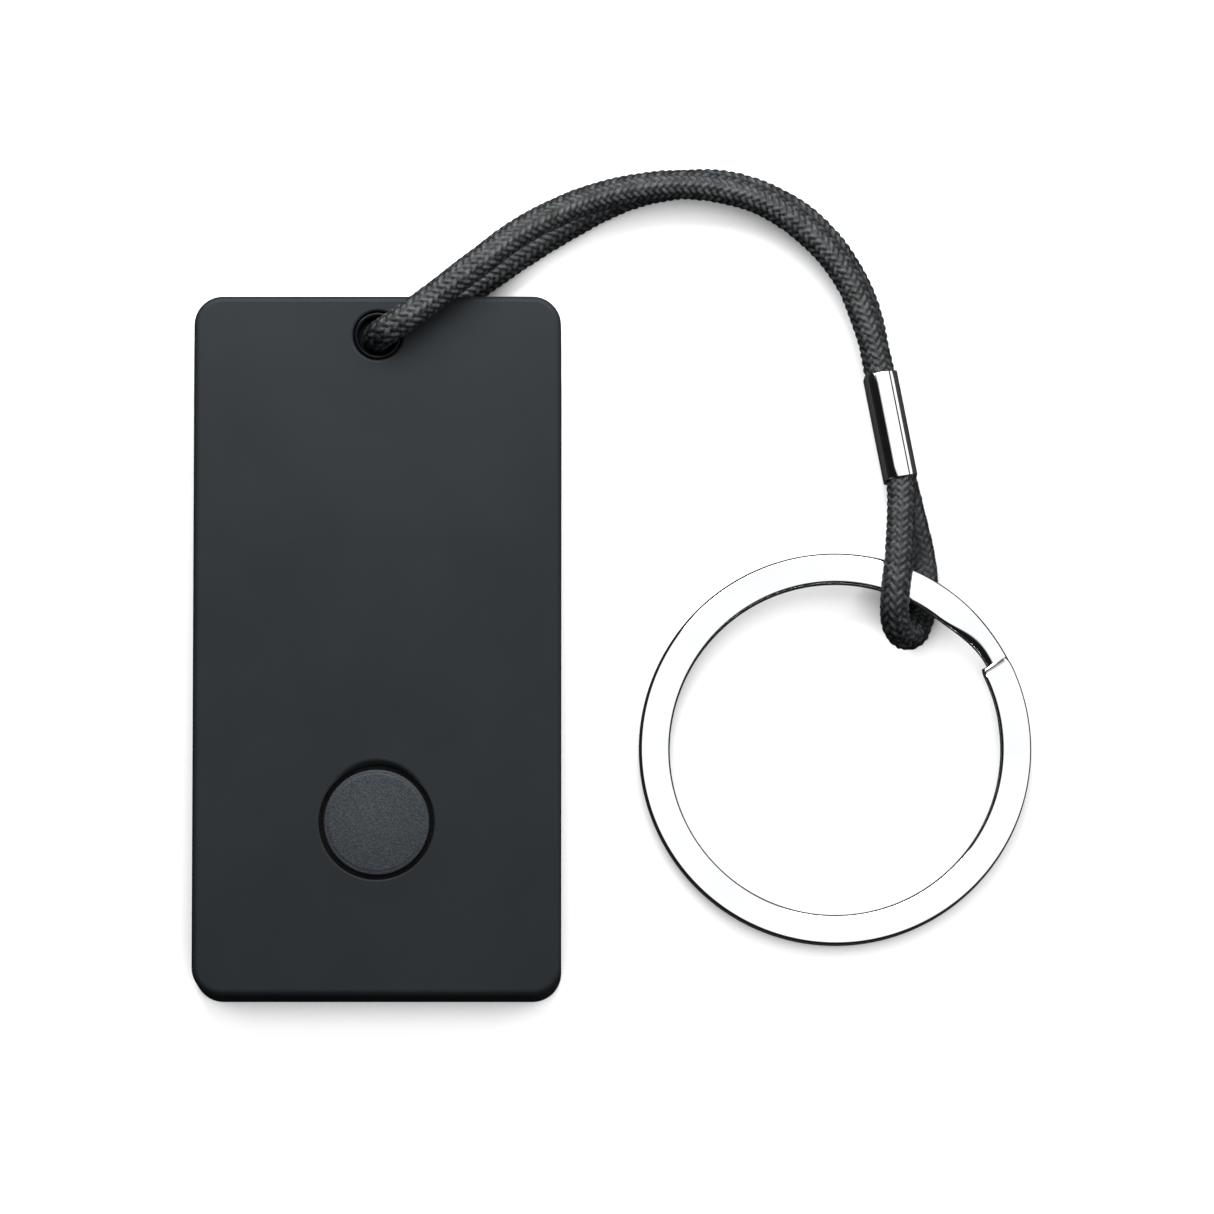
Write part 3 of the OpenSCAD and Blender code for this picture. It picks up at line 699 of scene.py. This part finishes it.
def makeButton(spec):
    low, high = boxMm("button_cap")
    flangeRadius = (high[0] - low[0]) / 2
    flangeTop = low[2] + spec["flange"]
    plungerTop = boxMm("switch_plunger")[1][2] + 0.01
    roof = high[2] - spec["skin"]
    stem, pocket, e = spec["stemRadius"], spec["pocketRadius"], spec["edgeRound"]
    axis = 0.001    # as near the middle as the profile may come
    profile = [(axis, plungerTop), (stem - 0.05, plungerTop), (stem, plungerTop + 0.05), (stem, roof),
               (pocket, roof), (pocket, low[2]), (flangeRadius - 0.08, low[2]), (flangeRadius, low[2] + 0.08),
               (flangeRadius, flangeTop - 0.05), (flangeRadius - 0.05, flangeTop),
               (spec["radius"], flangeTop)]
    profile += quarter(spec["radius"] - e, high[2] - spec["step"] - e, e, 0, 90, 8)
    inner = spec["radius"] - spec["border"]
    profile += [(inner + 0.04, high[2] - spec["step"]), (inner, high[2] - 0.005), (inner - 0.05, high[2]),
                (axis, high[2])]
    cap = lathe("button_face", profile, middleOf(low, high), 160)
    settle(cap, 40)
    # the paint covers the face and fades out down the rounded edge; below it the near-black plastic also
    # paints the shade in the gap round the cap
    tint = cap.data.color_attributes.new("paint", "FLOAT_COLOR", "POINT")
    lowest = high[2] - spec["paintDepth"]
    for vertex, value in zip(cap.data.vertices, tint.data):
        painted = min(max((vertex.co[2] / mm - lowest) / spec["paintFade"], 0), 1)
        value.color = (painted, painted, painted, 1)
    return cap


cap = makeButton(button)
dress(cap, sparkGrainFinish(button))
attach(cap, "button")
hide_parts("button_cap")
print("button made")


# the eyelet

lining = {
    "colour": (0.002, 0.002, 0.0025),
    "wall": 0.4,
}


def makeEyelet(spec):
    # a sleeve with a fully rounded lip at each end
    low, high = boxMm("lanyard_eyelet")
    lip = spec["wall"] / 2
    middle = (high[0] - low[0]) / 2 - lip
    profile = quarter(middle, low[2] + lip, lip, 180, 360, 12)
    profile += quarter(middle, high[2] - lip, lip, 0, 180, 12)
    return lathe("eyelet_lining", profile, middleOf(low, high), 96)


eyelet = makeEyelet(lining)
dress(eyelet, glossFinish(lining["colour"]))
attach(eyelet, "tag")
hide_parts("lanyard_eyelet")
print("eyelet made")


# the ferrule: a strip rolled round both strands, its edges meeting in a seam

ferrule = {
    "start": (38.45, 21.25),   # x and y of its upper end
    "heading": -79,            # the way it points from there
    "length": 8.2,
    "wall": 0.14,
    "seam": 0.65,          # from the middle of the width
    "seamGap": 0.10,
    "endRound": 0.07,
    "steps": 60,           # points round its outside
}


def makeFerrule(spec, cordDiameter):
    cordRadius = cordDiameter / 2
    outer = cordRadius + spec["wall"]
    inner = cordRadius + 0.01
    heading = math.radians(spec["heading"])
    ahead = Vector((math.cos(heading), math.sin(heading), 0))
    aside = Vector((-math.sin(heading), math.cos(heading), 0))
    centre = Vector((*spec["start"], cordDiameter + spec["wall"]))

    def loop(radius):
        # two half circles one above the other, from just past the seam all round to just before it
        seamTurn = math.acos(spec["seam"] / radius)
        halfGap = spec["seamGap"] / 2 / (radius * math.sin(seamTurn))
        start, end = seamTurn + halfGap, seamTurn + 2 * math.pi - halfGap
        outline = []
        for k in range(spec["steps"] + 1):
            turn = start + (end - start) * k / spec["steps"]
            lift = cordRadius if math.sin(turn) >= 0 else -cordRadius
            outline.append((radius * math.cos(turn), radius * math.sin(turn) + lift))
        return outline

    e, length = spec["endRound"], spec["length"]
    places = [(0.0, e), (e * 0.3, e * 0.3), (e, 0)]
    places += [(length * k / 10, 0) for k in range(1, 10)]
    places += [(length - e, 0), (length - e * 0.3, e * 0.3), (length, e)]
    most = spec["wall"] * 0.45    # how far each side of the wall may be rounded off
    rings = []
    for along, rounding in places:
        shrink = min(rounding, most)
        section = loop(outer - shrink) + loop(inner + shrink)[::-1]
        rings.append([tuple(centre + ahead * along + aside * x + Vector((0, 0, y))) for x, y in section])
    piece = newPiece("rolled_ferrule", *skinRings(rings))
    settle(piece, 50)
    return piece


ferrulePiece = makeFerrule(ferrule, cordLay["diameter"])
dress(ferrulePiece, chromeFinish("bright ferrule", chrome))
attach(ferrulePiece, "lanyard")
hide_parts("cord_ferrule")
print("ferrule rolled")


# the split ring: flat wire wound twice round, with a step from the upper turn to the lower

# angles in degrees, counted anticlockwise from the right
ring = {
    "radius": 15.0,
    "wireWidth": 2.35,
    "wireHeight": 1.0,
    "gap": 0.04,
    "edgeRound": 0.34,
    "upperEnd": 28.5,      # cut end of the upper turn
    "stepStart": 50,       # where the wire starts down to the lower turn
    "stepEnd": 30,
    "lowerEnd": 51,        # cut end of the lower turn
    "stepDegrees": 1.25,
    "pinch": 0.6,          # how much narrower the wire is pressed at the end of the step
    "pinchReach": 22,      # degrees
    "endBevel": 1.1,       # length of the slope on a cut end
    "endDrop": 0.62,       # how far that slope falls
    "endPinch": 0.12,      # how much narrower its tip is
}


def makeRing(spec):
    joint = next(j for j in frame["joints"] if j["name"] == "ring_turn")
    centre = Vector(joint["pos_m"]) / mm
    lean = Vector((0, 0, 1)).rotation_difference(Vector(joint["axis"])).to_matrix()
    total = 720 - (spec["lowerEnd"] - spec["upperEnd"])
    steps = int(total / spec["stepDegrees"])
    dive = 360 - spec["stepStart"] + spec["upperEnd"]
    upper = spec["wireHeight"] + spec["gap"]
    out, inn = spec["radius"], spec["radius"] - spec["wireWidth"]

    def section(pinched):
        # flat wire with rounded edges, pressed toward an oval where it is pinched
        h, e = spec["wireHeight"], spec["edgeRound"]
        i = inn + spec["pinch"] * pinched
        flat = (quarter(out - e, h - e, e, 0, 90) + quarter(i + e, h - e, e, 90, 180)
                + quarter(i + e, e, e, 180, 270) + quarter(out - e, e, e, 270, 360))
        turns = [math.radians(90 * q + 90 * k / 6) for q in range(4) for k in range(7)]
        oval = [((out + i) / 2 + (out - i) / 2 * math.cos(turn), h / 2 + h / 2 * math.sin(turn))
                for turn in turns]
        return [(f[0] + (g[0] - f[0]) * pinched, f[1] + (g[1] - f[1]) * pinched) for f, g in zip(flat, oval)]

    bevelTurn = math.degrees(spec["endBevel"] / spec["radius"])
    stepTurn = spec["stepStart"] - spec["stepEnd"]
    starts = [bevelTurn * k / 8 for k in range(8)]
    turns = starts + [bevelTurn + (total - 2 * bevelTurn) * k / steps for k in range(steps + 1)]
    turns += [total - t for t in reversed(starts)]
    middle = (out + inn) / 2
    rings = []
    for turned in turns:
        share = min(1, max(0, (turned - dive) / stepTurn))
        low = upper * (1 + math.cos(math.pi * share)) / 2
        pinched = max(0, 1 - abs(turned - dive - stepTurn) / spec["pinchReach"])
        pinched = pinched * pinched * (3 - 2 * pinched)
        heading = math.radians(spec["upperEnd"] - turned)
        slope = max(0, 1 - min(turned, total - turned) / bevelTurn)   # 1 at a cut end, 0 past its slope
        squash = 1 - spec["endDrop"] * slope ** 1.6
        narrow = 1 - spec["endPinch"] * slope ** 3
        outline = []
        for r, z in section(pinched):
            r = middle + (r - middle) * narrow
            place = Vector((r * math.cos(heading), r * math.sin(heading), low + z * squash))
            outline.append(tuple(centre + lean @ place))
        rings.append(outline)
    piece = newPiece("key_ring", *skinRings(rings))
    settle(piece, 45)
    return piece


ringPiece = makeRing(ring)
dress(ringPiece, chromeFinish("bright ring", chrome))
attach(ringPiece, "ring")
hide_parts("split_ring")
print("split ring wound")


# finishes of the parts inside, which keep their CAD shapes

def innerFinish(name, colour, roughness, metallic=0.0, scale=1500, vary=0.12, height=0.000004, stretch=None):
    finish = Finish(name, colour, roughness, metallic)
    cloud = finish.noise(scale, 4, 0.6, stretch)
    finish.colour(finish.ramp(cloud, shade(colour, 1 - vary), shade(colour, 1 + vary), 0.35, 0.65))
    finish.rough(finish.span(cloud, roughness * 0.8, min(1, roughness * 1.2), 0.3, 0.7))
    finish.bump(cloud, height, 0.5)
    return finish


def boardFinish():
    # green solder mask with the weave of the laminate showing faintly
    finish = Finish("solder mask", (0.012, 0.085, 0.04), 0.28, Coat_Weight=0.3, Coat_Roughness=0.15)
    weave = finish.noise(2600, 2, 0.5, (1, 0.25, 1))
    finish.colour(finish.ramp(weave, (0.009, 0.065, 0.03), (0.016, 0.105, 0.05), 0.35, 0.65))
    finish.bump(weave, 0.000006, 0.5)
    return finish


innerFinishes = {
    "switch_base": innerFinish("switch body", (0.02, 0.02, 0.02), 0.5),
    "switch_cover": innerFinish("stamped steel", (0.6, 0.6, 0.6), 0.3, 1, 3000, 0.08, 0.000002, (1, 8, 1)),
    "switch_dome": innerFinish("spring steel dome", (0.62, 0.62, 0.62), 0.22, 1, 5000, 0.06, 0.000001),
    "switch_plunger": innerFinish("plunger", (0.28, 0.28, 0.28), 0.45, 0, 6000),
    "circuit_board": boardFinish(),
    "printed_antenna": innerFinish("etched copper", (0.62, 0.36, 0.2), 0.35, 1, 4000, 0.12),
    "test_pads": innerFinish("gold plate", (0.75, 0.55, 0.25), 0.3, 1, 5000, 0.08),
    "bluetooth_chip": innerFinish("chip epoxy", (0.018, 0.018, 0.02), 0.55, 0, 7000),
    "main_crystal": innerFinish("crystal lid", (0.62, 0.62, 0.64), 0.3, 1, 4000, 0.06, 0.000001, (6, 1, 1)),
    "clock_crystal": innerFinish("crystal lid satin", (0.55, 0.55, 0.58), 0.34, 1, 4000, 0.06, 0.000001,
                                 (1, 6, 1)),
    "power_inductor": innerFinish("ferrite", (0.03, 0.03, 0.032), 0.7, 0, 8000, 0.25),
    "chip_capacitors": innerFinish("fired ceramic", (0.38, 0.27, 0.16), 0.5, 0, 6000),
    "chip_resistors": innerFinish("resistor coat", (0.02, 0.021, 0.022), 0.4, 0, 6000),
    "battery_tray": innerFinish("natural plastic", (0.55, 0.55, 0.52), 0.45, 0, 900, 0.05),
    "tray_screws": innerFinish("zinc plate", (0.42, 0.44, 0.46), 0.32, 1, 5000, 0.12),
    "coin_cell_can": innerFinish("nickel plate", (0.62, 0.62, 0.61), 0.24, 1, 2200, 0.06, 0.000002,
                                 (1, 1, 12)),
    "coin_cell_cap": innerFinish("nickel plate bright", (0.68, 0.68, 0.67), 0.2, 1, 2200, 0.06, 0.000002),
    "coin_cell_gasket": innerFinish("gasket", (0.05, 0.05, 0.05), 0.5),
    "coin_cell_cathode": innerFinish("pressed powder", (0.02, 0.02, 0.02), 0.85, 0, 9000, 0.3),
    "coin_cell_separator": innerFinish("felt", (0.75, 0.74, 0.7), 0.9, 0, 9000, 0.12),
    "coin_cell_lithium": innerFinish("lithium", (0.5, 0.5, 0.52), 0.4, 1, 3000),
    "positive_clip": innerFinish("spring bronze clip", (0.62, 0.5, 0.28), 0.3, 1, 3000, 0.1, 0.000002,
                                 (8, 1, 1)),
    "negative_contact": innerFinish("spring bronze plate", (0.62, 0.5, 0.28), 0.3, 1, 3000, 0.1, 0.000002,
                                    (1, 8, 1)),
    "foam_pad": innerFinish("closed-cell foam", (0.035, 0.036, 0.038), 0.95, 0, 5200, 0.4, 0.00008),
    "buzzer_disc": innerFinish("rolled brass", (0.62, 0.43, 0.17), 0.28, 1, 2500, 0.1, 0.000002, (1, 10, 1)),
    "buzzer_ceramic": innerFinish("silvered ceramic", (0.66, 0.65, 0.62), 0.5, 0, 3500, 0.06),
    "buzzer_adhesive": innerFinish("tape", (0.6, 0.57, 0.46), 0.6, 0, 2000),
    "buzzer_contacts": innerFinish("spring bronze contact", (0.62, 0.5, 0.28), 0.3, 1, 3000, 0.1, 0.000002),
}
for node, finish in innerFinishes.items():
    piece = frame["nodes"][node]
    if not piece.data.materials:
        piece.data.materials.append(finish.material)
    for holder in piece.material_slots:
        holder.material = finish.material
print("inner parts dressed")


# floor, light and sky

studio = {
    "floorReach": 4000,
    "floorSeen": (0.60, 0.605, 0.605),
    "floorReflected": 0.02,        # how dark the chrome sees the floor
    "floorGlow": 0.70,
    "contactReach": 4.5 * mm,      # how near a thing has to be to shade the floor
    "contactFade": (0.34, 0.72),
    "patch": (7, 1, 9),            # half width, and start and end inward from the tag's upper edge
    "skyAxis": (0.50, 0.46, 0.73),   # the way to the bright part's middle
    "skyDark": 0.008,
    "skyBright": 1.28,
    "skyEdge": (0.30, 0.46),       # cosine from that way, fully dark and fully bright
    "strip": (0.0, 0.080, 0.070),
    "stripAim": (0, 0.01, 0),
    "stripSize": (0.12, 0.045),
    "stripPower": 0.2,
}


def flatSheet(name, x0, y0, x1, y1, z):
    return newPiece(name, [(x0, y0, z), (x1, y0, z), (x1, y1, z), (x0, y1, z)], [(0, 1, 2, 3)])


def makeFloor(spec):
    reach = spec["floorReach"]
    floor = flatSheet("floor", -reach, -reach, reach, reach, 0)
    # a light table to look at, though dark in what the chrome mirrors, as a black card would make it
    finish = Finish("light table", spec["floorSeen"], 0.9, Specular_IOR_Level=0.1)
    finish.shader.inputs["Emission Color"].default_value = (1, 1, 1, 1)
    seen = finish.add("ShaderNodeLightPath").outputs["Is Camera Ray"]
    finish.colour(finish.ramp(seen, (spec["floorReflected"],) * 3, spec["floorSeen"]))
    # the glow fades close round whatever stands on it, a painted contact shadow
    near = finish.add("ShaderNodeAmbientOcclusion", samples=12)
    near.inputs["Distance"].default_value = spec["contactReach"]
    glow = finish.times(finish.span(near.outputs["AO"], 0, 1, *spec["contactFade"]),
                        finish.span(seen, 0, spec["floorGlow"]))
    finish.wire(glow, finish.shader.inputs["Emission Strength"])
    dress(floor, finish)


def makePatch(spec):
    # the floor gives no light under the tag's hole
    halfWidth, start, end = spec["patch"]
    edge = boxMm("front_shell")[1][1]
    patch = flatSheet("shade", -halfWidth, edge - end, halfWidth, edge - start, 0.02)
    dress(patch, Finish("shaded floor", (0.01, 0.01, 0.01), 0.9, Specular_IOR_Level=0.1))


def makeStrip(spec):
    # one low lamp behind the tag, which brightens its upper end
    data = bpy.data.lights.new("strip", "AREA")
    data.shape = "RECTANGLE"
    data.size, data.size_y = spec["stripSize"]
    data.energy = spec["stripPower"]
    light = bpy.data.objects.new("strip", data)
    light.location = spec["strip"]
    light.rotation_euler = (Vector(spec["stripAim"]) - light.location).to_track_quat("-Z", "Y").to_euler()
    scene.collection.objects.link(light)


def makeSky(spec):
    # bright overhead and down to the back and right, dark low down in front and at the left
    world = bpy.data.worlds.new("studio")
    scene.world = world
    world.use_nodes = True
    tree = world.node_tree
    background = tree.nodes["Background"]
    place = tree.nodes.new("ShaderNodeTexCoord")
    toward = tree.nodes.new("ShaderNodeVectorMath")
    toward.operation = "DOT_PRODUCT"
    toward.inputs[1].default_value = Vector(spec["skyAxis"]).normalized()
    tree.links.new(place.outputs["Generated"], toward.inputs[0])
    ramp = tree.nodes.new("ShaderNodeValToRGB")
    dark, bright = ramp.color_ramp.elements
    dark.position, bright.position = spec["skyEdge"]
    dark.color = (spec["skyDark"],) * 3 + (1,)
    bright.color = (1, 1, 1, 1)
    tree.links.new(toward.outputs["Value"], ramp.inputs["Fac"])
    tree.links.new(ramp.outputs["Color"], background.inputs["Color"])
    background.inputs["Strength"].default_value = spec["skyBright"]


makeFloor(studio)
makePatch(studio)
makeStrip(studio)
makeSky(studio)
scene.view_settings.view_transform = "Standard"
print("studio lit")
